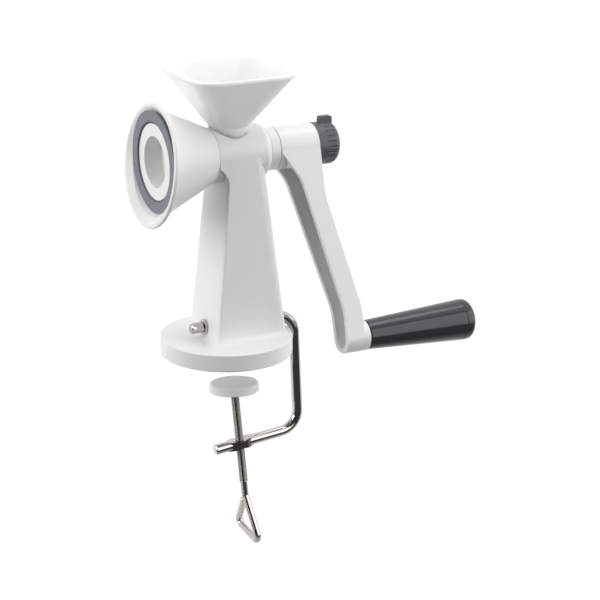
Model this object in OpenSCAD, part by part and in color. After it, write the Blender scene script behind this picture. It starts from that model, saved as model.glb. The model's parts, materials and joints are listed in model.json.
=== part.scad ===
// Hand cranked poppy seed mill with a table clamp.
// Millimetres. The origin is the centre of the base's underside, on the table top.
// The shaft runs along X: the outlet bell is at -X and the crank at +X.

/* [Base and post] */
// Diameter of the base disc
base_d = 90; // [84:1:104]
// Height of the base disc
base_t = 12.2; // [10:0.1:14]
// Rounding of the disc's edges
base_edge_r = 1.2; // [0.4:0.1:2]
// Wall of the base and post moulding
body_wall = 3; // [2.4:0.1:3.6]
// Thickness of the ribs under the base
rib_t = 2.4; // [1.6:0.1:4]
// Radius of the boss where the ribs cross
rib_boss_r = 7; // [5:0.5:9]
// Height of the shaft axis above the table top
axis_h = 137.5; // [125:0.5:150]
// Reach of the post's foot towards the outlet
foot_front = 16.5; // [14:0.5:20]
// Reach of the post's foot towards the crank
foot_back = 36.5; // [33:0.5:39]
// Depth of the post's foot across the shaft
foot_depth = 46; // [40:0.5:52]
// Rounding of the foot's corners on the outlet side
foot_front_r = 1.6; // [0.8:0.1:4]
// Rounding of the foot's corners on the crank side
foot_back_r = 7; // [3:0.5:9]

/* [Head and barrel] */
// Radius of the head round the shaft axis
head_r = 18.5; // [17:0.1:20]
// Front end of the head, from the post's axis
head_front = 4.5; // [3:0.5:6]
// Rounding of the head's back shoulder, down to the barrel
head_round = 6; // [4.5:0.5:7]
// Back of the post at the shaft axis
post_back = 20; // [18:0.5:22]
// Rounding of the post's back at the head
post_round = 6; // [3:0.5:8]
// Front flange of the head, where the bell sits, from the post's axis
flange_x = 12.5; // [11:0.5:15]
// Radius of the cove under the flange
cove_r = 12.5; // [9:0.5:15]
// Drop of the cove below the shaft axis
cove_drop = 16.5; // [14:0.5:19]
// Outer radius of the barrel
barrel_r = 14.4; // [13.6:0.1:15.4]
// Bore radius of the barrel
barrel_bore_r = 12; // [11:0.1:12.6]
// Back end of the barrel, from the post's axis
barrel_back = 27.3; // [25:0.1:31]

/* [Hopper] */
// Position of the hopper along the shaft
hopper_x = 2.2; // [0:0.1:5]
// Width of the square mouth
mouth_w = 73; // [66:1:84]
// Corner radius of the mouth
mouth_corner_r = 17; // [10:0.5:20]
// Height of the mouth above the shaft axis
mouth_h = 56.5; // [48:0.5:66]
// Wall of the hopper
hopper_wall = 2.2; // [1.6:0.1:3]
// Height of the lip round the mouth
lip_h = 2.2; // [1.4:0.1:4]
// Width by which the lip stands out
lip_out = 0.8; // [0.4:0.1:2]
// Outer radius of the spigot that plugs into the head
spigot_r = 11.6; // [10.6:0.1:12.4]
// Outer radius of the hopper's neck
neck_r = 13.6; // [13:0.1:15]
// Height of the neck's top above the shaft axis
neck_h = 19.5; // [19:0.1:24]

/* [Outlet bell and grinding set] */
// Length of the bell on the shaft axis
bell_l = 42.2; // [38:0.2:48]
// Wall of the bell across its cone
bell_wall = 2.6; // [2.2:0.1:3.6]
// Half angle of the grinding cone and the bell
cone_a = 25.2; // [23:0.1:27]
// Lean of the mouth's plane, lower lip forwards
mouth_lean = 6.5; // [3:0.5:9]
// Width by which the rolled lip stands out from the cone
bell_lip = 3.1; // [1.5:0.1:4]
// Thickness of the rolled lip
bell_lip_t = 2.8; // [2:0.1:4]
// Width of the rim that the flare leaves round the mouth
bell_rim = 1.2; // [0.8:0.1:2]
// Depth of the flare inside the mouth
bell_flare = 4; // [2:0.1:5]
// Radius of the rotor's face
rotor_r = 25.3; // [24.4:0.1:27]
// Depth of the rotor's face behind the mouth
rotor_inset = 3.6; // [2.5:0.1:5]
// Length of the rotor's cone
rotor_l = 29; // [26:0.5:32]
// Radius of the cup in the rotor's face
cup_r = 17; // [14:0.5:19]
// Depth of the cup
cup_l = 12; // [8:0.5:14]
// Width of the grey stator ring's face
stator_w = 7.4; // [6.6:0.1:8.4]
// Length of the stator ring
stator_l = 16; // [12:0.5:19]
// Gap between rotor and stator, square to the cone
grind_gap = 0.7; // [0.6:0.05:1]
// Number of grinding flutes on each cone
flutes = 20; // [12:1:28]
// Width of a flute
flute_w = 2.2; // [1.4:0.1:3]
// Depth of a flute
flute_d = 1.1; // [0.6:0.1:1.6]
// Skew of the flutes across the cone
flute_skew = 16; // [0:1:25]
// Core radius of the feed screw
screw_core_r = 6; // [5.4:0.1:7]
// Gap between the feed screw and the barrel's bore
screw_gap = 0.6; // [0.4:0.05:1]
// Pitch of the feed screw
screw_pitch = 15; // [11:0.5:20]
// Thickness of the screw's flight
flight_t = 3; // [2:0.1:4]

/* [Shaft and bearing] */
// Radius of the steel shaft
shaft_r = 4; // [3.5:0.1:4.6]
// Width across the flats of the square drive
drive_w = 6.2; // [5.6:0.1:6.8]
// Radius of the shaft's threaded end
thread_r = 3; // [2.5:0.1:3]
// Length of the bearing's flange behind the barrel
bearing_l = 6.9; // [5:0.1:9]
// Length of the bearing's spigot in the barrel
bearing_spigot_l = 7; // [5:0.5:9]
// Thickness of the thrust washer
washer_t = 1; // [0.6:0.1:1.6]
// Radius of the thrust washer
washer_r = 9; // [7:0.5:11]
// Travel of the grinding cone towards the stator
travel_in = 0.8; // [0.4:0.1:1]
// Radius of the cross pin in the rotor
pin_r = 1.5; // [1:0.1:2]

/* [Crank] */
// Rest angle of the crank from straight down, towards the front
crank_rest = 16; // [-30:1:30]
// Distance from the shaft axis to the grip axis
crank_l = 133.2; // [115:0.5:150]
// Radius of the crank's hub
hub_r = 14.4; // [13.6:0.1:15.4]
// Length of the hub
hub_l = 28.5; // [26:0.5:32]
// Radius of the boss at the grip
boss_r = 10.4; // [9.4:0.1:11.4]
// Length by which the boss stands out of the arm
boss_out = 4.6; // [4:0.1:7]
// Depth of the arm's channel section along the shaft
arm_d = 13; // [11.6:0.1:15]
// Sideways step of the arm between hub and grip
arm_step = 18.8; // [13:0.1:24]
// Drop below the shaft axis where the arm starts to slope
slope_top = 35; // [30:0.5:40]
// Height above the grip axis where the slope ends
slope_foot = 19; // [15:0.5:26]
// Wall of the arm's channel
arm_wall = 3.4; // [2.4:0.1:4.2]
// Web of the arm's channel
arm_web = 3; // [2.2:0.1:4]
// Radius of the curves in the arm
arm_curve_r = 45; // [25:1:60]
// Drop of the gusset's start on the hub
gusset_top = 4; // [2:0.5:8]
// Drop of the gusset's corner on the arm
gusset_drop = 22; // [19:0.5:26]
// Radius of the gusset's curve
gusset_r = 30; // [15:1:40]

/* [Adjusting knob] */
// Length of the knob
knob_l = 16.5; // [15:0.5:20]
// Length of the plain band next to the crank
knob_band = 6; // [4:0.1:8]
// Rounding of the knob's end
knob_round = 5; // [3:0.1:6]
// Number of finger flutes
knob_flutes = 24; // [16:1:36]
// Radius of a finger flute
knob_flute_r = 0.9; // [0.7:0.1:1.4]
// Height of the pointer tab above the knob
tab_h = 4.2; // [3:0.1:6]
// Distance of the pointer tab from the crank's end of the knob
tab_at = 5.2; // [4:0.1:6]
// Length of the pointer tab along the shaft
tab_l = 9.4; // [7:0.1:10]
// Rounding of the tab's corners
tab_round = 1.8; // [0.5:0.1:2.5]
// Thickness of the pointer tab
tab_t = 4; // [3:0.1:6]
// Width across the flats of the nut in the knob
nut_w = 10; // [9:0.5:11]
// Length of the nut in the knob
nut_l = 6; // [4:0.5:7]

/* [Grip] */
// Length of the grip with its cap
grip_l = 82; // [74:1:92]
// Radius of the grip next to the crank
grip_small_r = 10.1; // [9.2:0.1:11]
// Greatest radius of the grip
grip_big_r = 14.2; // [12.8:0.1:15.6]
// Length of the grip's end cap
cap_l = 7.5; // [6:0.5:10]
// Rounding of the cap's end
cap_round = 4.5; // [3:0.5:5.5]
// Wall of the grip
grip_wall = 2.6; // [2:0.1:3.4]
// Radius of the grip's axle
axle_r = 4; // [3.5:0.1:4.5]
// Length of the axle's bearing in the grip
axle_seat_l = 52; // [40:1:58]
// Radius of the axle's head
axle_head_r = 7; // [6:0.1:7.6]
// Thickness of the axle's head
axle_head_t = 3; // [2:0.1:4]
// Thickness of the axle's washer
axle_washer_t = 1; // [0.6:0.1:1.6]
// Depth of the axle's seat in the crank's boss
axle_in = 6; // [5:0.1:7]
// Length of the cap's plug in the grip
plug_l = 5; // [4:0.5:7]

/* [Clamp] */
// Radius of the bow's steel rod
rod_r = 3.65; // [3.2:0.05:4]
// Height of the bow's upper arm above the table top
bow_z = 19.3; // [18.5:0.1:21]
// Reach of the bow's upper corner from the post's axis
bow_reach = 50.9; // [50.4:0.1:58]
// Length of the bow's back between its corners
bow_drop = 84.2; // [76:0.2:96]
// Length of the bow's lower arm from its corner
bow_arm = 64.4; // [58:0.2:72]
// Length of the rod that shows in front of the post
bow_tip = 10; // [7:0.1:14]
// Centre radius of the bow's bends
bend_r = 14; // [12:0.5:15]
// Spring in each bend, as degrees short of a right angle
bend_spring = 3; // [0:0.1:4]
// Radius of the retaining ring on the rod
ring_r = 5.4; // [5:0.1:6.5]
// Thickness of the retaining ring
ring_t = 1.2; // [0.8:0.1:2]
// Distance from the bow's lower corner to the spindle
spindle_in = 45.4; // [40:0.1:48]
// Radius of the spindle
spindle_r = 2.9; // [2.5:0.05:3.1]
// Height of the flattened eye round the spindle
eye_h = 5.2; // [4.4:0.1:6]
// Width of the flattened eye
eye_w = 9.8; // [9.4:0.1:12]
// Length of the flattened eye
eye_l = 24; // [20:0.5:28]
// Height of the pad's ball above the lower arm
pad_up = 40.9; // [37:0.1:45]
// Radius of the ball at the spindle's tip
ball_r = 3.8; // [3.5:0.1:4.2]
// Radius of the pad at its lower edge
pad_r = 17.2; // [15:0.1:19]
// Radius of the pad's flat top
pad_top_r = 15.6; // [13:0.1:17]
// Height of the pad
pad_t = 6.2; // [6:0.1:8]
// Lean of the loose pad on its ball
pad_lean = 4.5; // [0:0.5:8]
// Depth of the pad's lower face below the ball's centre
pad_under = 1.2; // [0.8:0.1:2]
// Length of the spindle below the lower arm, down to its loop
spindle_below = 40; // [36:0.5:46]
// Length of thread below the lower arm
thread_below = 29; // [24:0.5:33]
// Width of the spindle's loop
loop_w = 35; // [28:0.5:40]
// Height of the spindle's loop
loop_h = 27; // [22:0.5:32]
// Droop of the loop's near corner below its far one
loop_skew = 4; // [0:0.5:6]
// Bend radius at the loop's corners
loop_bend_r = 4; // [3.5:0.1:5]
// Radius of the loop's rod
loop_r = 2.5; // [2:0.1:2.7]
// Gap between the loop's free end and its start
loop_gap = 5; // [4.5:0.5:8]

/* [Fits] */
// Radial clearance of a turning or sliding fit
run_fit = 0.05; // [0.03:0.01:0.08]
// Clearance between pieces that seat on each other
seat_fit = 0.1; // [0.05:0.01:0.2]
// Gap between the faces of pieces that turn past each other
face_gap = 0.3; // [0.2:0.05:0.5]

/* [Hidden] */
$fn = 96;
hull_fn = 32;
eps = 0.01;
over = 1;
// Thinning of a rod in its bends
bend_thin = 0.02;
// Length by which a rod's straights run into its bends
bend_lap = 0.05;
// Length by which the shaft's steps run into each other
step_lap = 0.2;
// Chamfer on the bow's ends
rod_chamfer = 0.8;
// Step of the cove's web inside the post's sides
cove_in = 0.1;
// Step of the crank arm's flat sides inside its hub and boss
side_in = 0.2;
// Chamfer and draft of the pad's edge
pad_edge = 0.5;
// Stand of the stator's face in front of the rotor's
stator_proud = 1.1;
white = "#ECECEA";
grey = "#70737A";
dark = "#3F4245";
steel = "#C9CCD0";
brass = "#C8A85A";

// Places along the shaft axis
mouth_x = -flange_x - bell_l;
rotor_x = mouth_x + rotor_inset;
stator_x = rotor_x - stator_proud;
bearing_x = barrel_back;
hub_x = bearing_x + bearing_l + face_gap;
knob_x = hub_x + hub_l + face_gap;
arm_x = hub_x + hub_l - arm_d;
boss_x = arm_x + arm_step;
grip_x = boss_x + arm_d + boss_out + face_gap;
cup_floor_x = rotor_x + cup_l;
shaft_front_x = cup_floor_x + body_wall;
drive_x = hub_x + washer_t + 2 * travel_in;
thread_x = knob_x - face_gap - 2;
shaft_back_x = knob_x + knob_l - knob_round - 2 * travel_in;
screw_x = rotor_x + rotor_l;
spigot_z = barrel_bore_r + face_gap;
screw_back_x = bearing_x - bearing_spigot_l - 2 * travel_in;

// Radius of a cone of the grinding set at a place on the shaft axis
cone_k = tan(cone_a);
function rotor_cone_r(x) = rotor_r - (x - rotor_x) * cone_k;
function stator_in_r(x) = rotor_cone_r(x) + grind_gap / cos(cone_a);
function stator_out_r(x) = stator_in_r(x) + stator_w;
function bell_in_r(x) = stator_out_r(x) + seat_fit;
function bell_out_r(x) = bell_in_r(x) + bell_wall / cos(cone_a);

// Corners of the bow's centre line, in the plane of the shaft, as X and Z
bow_corner = [bow_reach, bow_z];
bow_foot = bow_corner + bow_drop * [sin(bend_spring), -cos(bend_spring)];
arm_slope = 2 * bend_spring;
arm_way = [-cos(arm_slope), -sin(arm_slope)];
bow_end = bow_foot + bow_arm * arm_way;
spindle_at = bow_foot + spindle_in * arm_way;
bow_start = [-foot_front - bow_tip, bow_z];

// Shape helpers
module along_x(x) {
    translate([x, 0, axis_h]) rotate([0, 90, 0]) children();
}

module tube_x(x, r, l) {
    along_x(x) cylinder(r = r, h = l);
}

module cone_x(x0, r0, x1, r1) {
    along_x(x0) cylinder(r1 = r0, r2 = r1, h = x1 - x0);
}

module crank_frame() {
    translate([0, 0, axis_h]) rotate([-crank_rest, 0, 0]) children();
}

module crank_tube(x, r, l, drop) {
    translate([x, 0, -drop]) rotate([0, 90, 0]) cylinder(r = r, h = l);
}

module hex(w, h) {
    cylinder(d = w / cos(30), h = h, $fn = 6);
}

module rounded_rect(w, d, r) {
    square([w - 2 * r, d], center = true);
    square([w, d - 2 * r], center = true);
    for (sx = [-1, 1], sy = [-1, 1])
        translate([sx * (w / 2 - r), sy * (d / 2 - r)]) circle(r = r);
}

// Four upright corner columns, for hulls with rounded corners
module corner_columns(x0, x1, depth, r0, r1, h) {
    for (sy = [-1, 1]) {
        translate([x0 + r0, sy * (depth / 2 - r0), 0]) cylinder(r = r0, h = h, $fn = hull_fn);
        translate([x1 - r1, sy * (depth / 2 - r1), 0]) cylinder(r = r1, h = h, $fn = hull_fn);
    }
}

// Round rod along a planar path of points, with arcs of radius b at its corners
function heading(a, b) = atan2(b[1] - a[1], b[0] - a[0]);
function fold(a) = a > 180 ? a - 360 : a < -180 ? a + 360 : a;
function turn(p, i) = fold(heading(p[i], p[i + 1]) - heading(p[i - 1], p[i]));
function setback(p, i, b) = i == 0 || i == len(p) - 1 ? 0 : b * tan(abs(turn(p, i)) / 2);

module bent_rod(p, r, b) {
    for (i = [0 : len(p) - 2]) {
        a = heading(p[i], p[i + 1]);
        s = setback(p, i, b) - (i > 0 ? bend_lap : 0);
        e = setback(p, i + 1, b) - (i < len(p) - 2 ? bend_lap : 0);
        l = norm(p[i + 1] - p[i]) - s - e;
        translate(p[i] + s * [cos(a), sin(a)]) rotate([0, 90, a]) cylinder(r = r, h = l);
    }
    for (i = [1 : len(p) - 2]) {
        a = heading(p[i - 1], p[i]);
        t = turn(p, i);
        side = t > 0 ? 1 : -1;
        centre = p[i] - setback(p, i, b) * [cos(a), sin(a)] + side * b * [-sin(a), cos(a)];
        from = t > 0 ? a - 90 : a + 90 + t;
        translate(centre) rotate(from) rotate_extrude(angle = abs(t))
            translate([b, 0]) circle(r = r - bend_thin);
    }
}

// Corner points of a polygon rounded to arcs of radius r
function arc_at(a, b, c, r, n = 6) =
    let (u = (a - b) / norm(a - b), v = (c - b) / norm(c - b),
         half = acos(max(-1, min(1, u * v))) / 2, s = r / tan(half),
         m = b + (u + v) / norm(u + v) * r / sin(half),
         from = heading(m, b + s * u), sweep = fold(heading(m, b + s * v) - from))
    [for (k = [0 : n]) m + r * [cos(from + sweep * k / n), sin(from + sweep * k / n)]];

// Base, post, head and barrel in one moulding
module base_profile() {
    difference() {
        square([base_d / 2, base_t]);
        for (z = [0, base_t])
            translate([base_d / 2, z]) square(2 * base_edge_r, center = true);
    }
    for (z = [base_edge_r, base_t - base_edge_r])
        translate([base_d / 2 - base_edge_r, z]) circle(r = base_edge_r);
}

module post_core() {
    hull() {
        translate([0, 0, base_t - over])
            corner_columns(-foot_front, foot_back, foot_depth, foot_front_r, foot_back_r, over);
        along_x(-head_front) cylinder(r = head_r, h = head_front + post_back - post_round, $fn = 64);
        for (a = [30 : 30 : 90])
            along_x(post_back - post_round * (1 - sin(a)) - eps)
                cylinder(r = head_r - post_round * (1 - cos(a)), h = eps, $fn = 64);
    }
}

module post_hollow() {
    top_z = axis_h - barrel_bore_r - body_wall;
    corner_r = foot_back_r - body_wall / 2;
    hull() {
        translate([0, 0, -over])
            corner_columns(-foot_front + body_wall, foot_back - body_wall, foot_depth - 2 * body_wall,
                           foot_front_r, corner_r, over);
        translate([0, 0, top_z - over])
            corner_columns(-head_front + body_wall / 2, post_back - body_wall, 2 * (head_r - body_wall),
                           foot_front_r, corner_r, over);
    }
}

// Head with a rounded back shoulder
module head() {
    l = barrel_back + flange_x;
    along_x(-flange_x) rotate_extrude() {
        square([head_r, l - head_round]);
        square([head_r - head_round, l]);
        translate([head_r - head_round, l - head_round]) circle(r = head_round);
    }
}

// Web under the flange, level with the post's sides, hollowed to a cove that runs on from its front edge
module cove() {
    rise = axis_h - base_t;
    top_w = head_r - cove_in;
    low_w = top_w + (foot_depth / 2 - head_r) * cove_drop / rise;
    x0 = -head_front - (foot_front - head_front) * cove_drop / rise;
    difference() {
        translate([-flange_x, 0, axis_h]) rotate([90, 0, 90]) linear_extrude(flange_x)
            polygon([[top_w, 0], [-top_w, 0], [-low_w, -cove_drop], [low_w, -cove_drop]]);
        translate([x0 - cove_r, 0, axis_h - cove_drop])
            rotate([90, 0, 0]) cylinder(r = cove_r, h = 4 * head_r, center = true);
    }
}

module body() {
    bow_bore_r = rod_r + run_fit;
    color(white) difference() {
        union() {
            difference() {
                union() {
                    rotate_extrude() base_profile();
                    post_core();
                    head();
                    cove();
                    tube_x(0, barrel_r, barrel_back);
                }
                translate([0, 0, -over]) cylinder(r = base_d / 2 - body_wall, h = base_t - body_wall + over);
                post_hollow();
            }
            for (a = [0, 90])
                rotate(a) translate([-base_d / 2 + body_wall - over / 2, -rib_t / 2, 0])
                    cube([base_d - 2 * body_wall + over, rib_t, base_t - body_wall + over / 2]);
            cylinder(r = rib_boss_r, h = base_t - body_wall);
            translate([-foot_front + 0.8 * body_wall, 0, bow_z]) rotate([0, 90, 0])
                cylinder(r = rod_r + body_wall, h = foot_front + foot_back - 1.6 * body_wall);
        }
        tube_x(-flange_x - over, barrel_bore_r, flange_x + barrel_back + 2 * over);
        translate([hopper_x, 0, axis_h]) cylinder(r = spigot_r + run_fit, h = head_r + over);
        translate([-foot_front - over, 0, bow_z]) rotate([0, 90, 0])
            cylinder(r = bow_bore_r, h = foot_front + foot_back + 2 * over);
    }
}

// Bell round the grinding set, with its mouth cut at a lean
module mouth_plane() {
    translate([mouth_x, 0, axis_h]) rotate([0, mouth_lean, 0]) children();
}

module outlet_bell() {
    reach = 2 * rotor_r;
    long_x = mouth_x - reach;
    rim_r = bell_out_r(mouth_x) + bell_lip;
    lip_drop = bell_out_r(mouth_x) * cone_k * tan(mouth_lean);
    flare_r = bell_in_r(mouth_x) - over - bell_flare * cone_k;
    color(white) difference() {
        union() {
            difference() {
                cone_x(long_x, bell_out_r(long_x), -flange_x, bell_out_r(-flange_x));
                mouth_plane() translate([-2 * reach, 0, 0]) cube([4 * reach, 8 * reach, 8 * reach], center = true);
            }
            mouth_plane() rotate([0, 90, 0]) translate([lip_drop, 0, bell_lip_t / 2]) rotate_extrude() {
                translate([rim_r - bell_lip - bell_lip_t, -bell_lip_t / 2])
                    square([bell_lip + bell_lip_t / 2, bell_lip_t]);
                translate([rim_r - bell_lip_t / 2, 0]) circle(d = bell_lip_t);
            }
        }
        cone_x(long_x, bell_in_r(long_x), -flange_x - body_wall, bell_in_r(-flange_x - body_wall));
        mouth_plane() rotate([0, 90, 0]) translate([lip_drop, 0, -over])
            cylinder(r1 = rim_r - bell_rim, r2 = flare_r, h = bell_flare + over);
        tube_x(-flange_x - body_wall - over, barrel_bore_r, body_wall + 2 * over);
    }
}

module hopper() {
    inner_r = spigot_r - hopper_wall;
    color(white) difference() {
        union() {
            difference() {
                translate([hopper_x, 0, axis_h]) {
                    cylinder(r = neck_r, h = neck_h + over);
                    hull() {
                        translate([0, 0, neck_h]) cylinder(r = neck_r + eps, h = eps, $fn = 2 * hull_fn);
                        translate([0, 0, mouth_h - lip_h])
                            corner_columns(-mouth_w / 2, mouth_w / 2, mouth_w, mouth_corner_r, mouth_corner_r, eps);
                    }
                    translate([0, 0, mouth_h - lip_h]) linear_extrude(lip_h)
                        rounded_rect(mouth_w + 2 * lip_out, mouth_w + 2 * lip_out, mouth_corner_r + lip_out);
                }
                tube_x(-2 * flange_x, head_r + face_gap, 4 * flange_x + barrel_back);
            }
            translate([hopper_x, 0, axis_h + spigot_z]) cylinder(r = spigot_r, h = neck_h - spigot_z);
        }
        translate([hopper_x, 0, axis_h]) {
            hull() {
                translate([0, 0, neck_h]) cylinder(r = inner_r, h = eps, $fn = 2 * hull_fn);
                translate([0, 0, mouth_h])
                    corner_columns(-mouth_w / 2 + hopper_wall, mouth_w / 2 - hopper_wall,
                                   mouth_w - 2 * hopper_wall, mouth_corner_r - hopper_wall,
                                   mouth_corner_r - hopper_wall, over);
            }
            cylinder(r = inner_r - eps, h = neck_h + over);
        }
    }
}

// Ring of slots along a cone that narrows towards +X, from x0 to x1, centred on the radius r at x0
module cone_flutes(x0, x1, r) {
    l = (x1 - x0) / cos(cone_a);
    for (i = [0 : flutes - 1])
        along_x(x0) rotate([0, 0, i * 360 / flutes]) translate([r, 0, 0]) rotate([0, -cone_a, 0])
            rotate([flute_skew, 0, 0]) translate([-flute_d, -flute_w / 2, -over])
                cube([2 * flute_d, flute_w, l + 2 * over]);
}

module stator_ring() {
    x1 = stator_x + stator_l;
    color(grey) difference() {
        cone_x(stator_x, stator_out_r(stator_x), x1, stator_out_r(x1));
        cone_x(stator_x - over, stator_in_r(stator_x - over), x1 + over, stator_in_r(x1 + over));
        cone_flutes(stator_x + 3, x1, stator_in_r(stator_x + 3));
    }
}

module rotor_cone() {
    x1 = rotor_x + rotor_l;
    color(white) difference() {
        cone_x(rotor_x, rotor_r, x1, rotor_cone_r(x1));
        tube_x(rotor_x - over, cup_r, cup_l + over);
        tube_x(cup_floor_x + body_wall, shaft_r + run_fit, rotor_l);
        cone_flutes(rotor_x + 4, x1, rotor_cone_r(rotor_x + 4));
        rotor_cross(pin_r + run_fit, 4 * rotor_r);
    }
}

module rotor_cross(r, l) {
    translate([screw_x - 2 * pin_r - over, 0, axis_h]) rotate([90, 0, 0]) cylinder(r = r, h = l, center = true);
}

module rotor_pin() {
    color(steel) rotor_cross(pin_r, 3.5 * shaft_r);
}

module feed_screw() {
    l = screw_back_x - screw_x;
    flight_r = barrel_bore_r - screw_gap;
    color(white) difference() {
        along_x(screw_x + seat_fit) linear_extrude(height = l, twist = -360 * l / screw_pitch, slices = 36, segments = 0) {
            circle(r = screw_core_r, $fn = 12);
            translate([0, -flight_t / 2]) square([flight_r, flight_t]);
        }
        tube_x(screw_x - over, shaft_r + run_fit, l + 2 * over + seat_fit);
    }
}

module drive_shaft() {
    color(steel) difference() {
        union() {
            tube_x(shaft_front_x + seat_fit, shaft_r, drive_x - shaft_front_x - seat_fit);
            crank_frame() translate([drive_x - step_lap, -drive_w / 2, -drive_w / 2])
                cube([thread_x - drive_x + step_lap, drive_w, drive_w]);
            tube_x(thread_x - step_lap, thread_r, shaft_back_x - thread_x + step_lap);
        }
        rotor_cross(pin_r + run_fit, 4 * shaft_r);
    }
}

module rear_bearing() {
    color(white) difference() {
        union() {
            tube_x(bearing_x, barrel_r, bearing_l);
            tube_x(bearing_x - bearing_spigot_l, barrel_bore_r - seat_fit, bearing_spigot_l + over);
        }
        tube_x(bearing_x - bearing_spigot_l - over, shaft_r + run_fit, bearing_spigot_l + bearing_l + 2 * over);
    }
}

module thrust_washer() {
    color(steel) difference() {
        tube_x(hub_x - face_gap / 2, washer_r, washer_t);
        tube_x(hub_x - over, shaft_r + 2 * run_fit, washer_t + 2 * over);
    }
}

// Dog-leg crank: a channel open towards the post, between a hub and a boss
// Front view of the arm's plate, Y across and Z down from the shaft axis
module arm_plate(inset) {
    top = hub_r - side_in - inset;
    foot = boss_r - side_in - inset;
    polygon([[top, 0], [foot, -crank_l], [-foot, -crank_l], [-top, 0]]);
}

// Edges of the arm in its side view, X across and Z down from the shaft axis
knee_z = -crank_l + slope_foot;
arm_k = arm_step / (crank_l - slope_foot - slope_top);
gusset_at = [boss_x + (knee_z + gusset_drop) * arm_k, -gusset_drop];
function arm_back(inset) =
    let (a = arm_x + arm_d - inset, b = boss_x + arm_d - inset)
    concat(arc_at([a, 0], [a, -slope_top], [b, knee_z], arm_curve_r),
           arc_at([a, -slope_top], [b, knee_z], [b, -crank_l], arm_curve_r));
function arm_front() =
    concat(arc_at([boss_x, -crank_l], [boss_x, knee_z], gusset_at, arm_curve_r),
           arc_at([boss_x, knee_z], gusset_at, [hub_x, -gusset_top], gusset_r));

module arm_side() {
    polygon(concat(
        [[hub_x, 0], [arm_x + arm_d, 0]], arm_back(0),
        [[boss_x + arm_d, -crank_l], [boss_x, -crank_l]], arm_front(),
        [[hub_x, -gusset_top]]
    ));
}

module arm_void() {
    polygon(concat(
        [[hub_x - over, -hub_r], [arm_x + arm_d - arm_web, -hub_r]], arm_back(arm_web),
        [[boss_x + arm_d - arm_web, -crank_l], [hub_x - over, -crank_l]]
    ));
}

// Meeting of a side view and a front view
module arm_block(inset) {
    reach = boss_x + arm_d + boss_out;
    intersection() {
        rotate([90, 0, 0]) linear_extrude(4 * hub_r, center = true) children();
        rotate([90, 0, 90]) linear_extrude(reach) arm_plate(inset);
    }
}

module crank_arm() {
    square_w = drive_w + 2 * run_fit;
    color(white) crank_frame() difference() {
        union() {
            arm_block(0) arm_side();
            crank_tube(hub_x, hub_r, hub_l, 0);
            crank_tube(boss_x, boss_r, arm_d + boss_out, crank_l);
        }
        arm_block(arm_wall) arm_void();
        crank_tube(boss_x - over, boss_r - arm_wall, arm_d - arm_web + over, crank_l);
        crank_tube(hub_x - over, washer_r + seat_fit, washer_t + over - face_gap / 2 + seat_fit, 0);
        translate([hub_x - over, -square_w / 2, -square_w / 2]) cube([hub_l + 2 * over, square_w, square_w]);
        crank_tube(hub_x - over, shaft_r + 2 * run_fit, drive_x - hub_x + 2 * travel_in + over, 0);
        crank_tube(boss_x + arm_d + boss_out - axle_in - seat_fit, axle_r + run_fit, axle_in + seat_fit + over, crank_l);
    }
}

module tab_profile() {
    top = hub_r + tab_h;
    polygon(concat(
        [[0, 0], [tab_l, 0]],
        arc_at([tab_l, 0], [tab_l, top], [0, top], tab_round),
        arc_at([tab_l, top], [0, top], [0, 0], tab_round)
    ));
}

module adjusting_knob() {
    color(dark) difference() {
        union() {
            along_x(knob_x) rotate_extrude() {
                square([hub_r, knob_l - knob_round]);
                square([hub_r - knob_round, knob_l]);
                translate([hub_r - knob_round, knob_l - knob_round]) circle(r = knob_round);
            }
            translate([knob_x + tab_at, 0, axis_h]) rotate([90, 0, 0]) linear_extrude(tab_t, center = true)
                tab_profile();
        }
        for (i = [1 : knob_flutes - 1])
            along_x(knob_x + knob_band) rotate(180 + i * 360 / knob_flutes)
                translate([hub_r + knob_flute_r * 0.3, 0, 0]) cylinder(r = knob_flute_r, h = knob_l);
        tube_x(knob_x - over, thread_r + run_fit, knob_l - knob_round / 2);
        along_x(knob_x - over) hex(nut_w + 2 * seat_fit, nut_l + over);
    }
}

module knob_nut() {
    color(brass) difference() {
        along_x(knob_x) hex(nut_w, nut_l - seat_fit);
        tube_x(knob_x - over, thread_r + run_fit, nut_l + 2 * over);
    }
}

// Grip that turns on its axle, with a cap over the axle's head
module grip_profile() {
    body_l = grip_l - cap_l;
    polygon([
        [0, 0], [grip_small_r - 0.8, 0], [grip_small_r, 0.8],
        [grip_big_r, body_l], [0, body_l]
    ]);
}

module on_grip(x) {
    crank_frame() translate([x, 0, -crank_l]) rotate([0, 90, 0]) children();
}

module grip() {
    body_l = grip_l - cap_l;
    color(dark) difference() {
        on_grip(grip_x) rotate_extrude() grip_profile();
        on_grip(grip_x - over) cylinder(r = axle_r + run_fit, h = axle_seat_l + 2 * over);
        on_grip(grip_x + axle_seat_l) cylinder(r = grip_big_r - grip_wall, h = body_l);
    }
}

module grip_cap() {
    plug_r = grip_big_r - grip_wall - seat_fit;
    color(dark) on_grip(grip_x + grip_l - cap_l) {
        rotate_extrude() {
            square([grip_big_r, cap_l - cap_round]);
            square([grip_big_r - cap_round, cap_l]);
            intersection() {
                translate([grip_big_r - cap_round, cap_l - cap_round]) circle(r = cap_round);
                translate([0, cap_l - cap_round]) square([grip_big_r, cap_round]);
            }
        }
        translate([0, 0, -plug_l]) difference() {
            cylinder(r = plug_r, h = plug_l + eps);
            translate([0, 0, -over]) cylinder(r = plug_r - grip_wall, h = plug_l + over);
        }
    }
}

module grip_axle() {
    foot_x = grip_x - face_gap - axle_in;
    head_x = grip_x + axle_seat_l + axle_washer_t + face_gap;
    color(steel) {
        on_grip(foot_x) cylinder(r = axle_r, h = head_x - foot_x + eps);
        on_grip(head_x) cylinder(r = axle_head_r, h = axle_head_t);
    }
}

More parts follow.
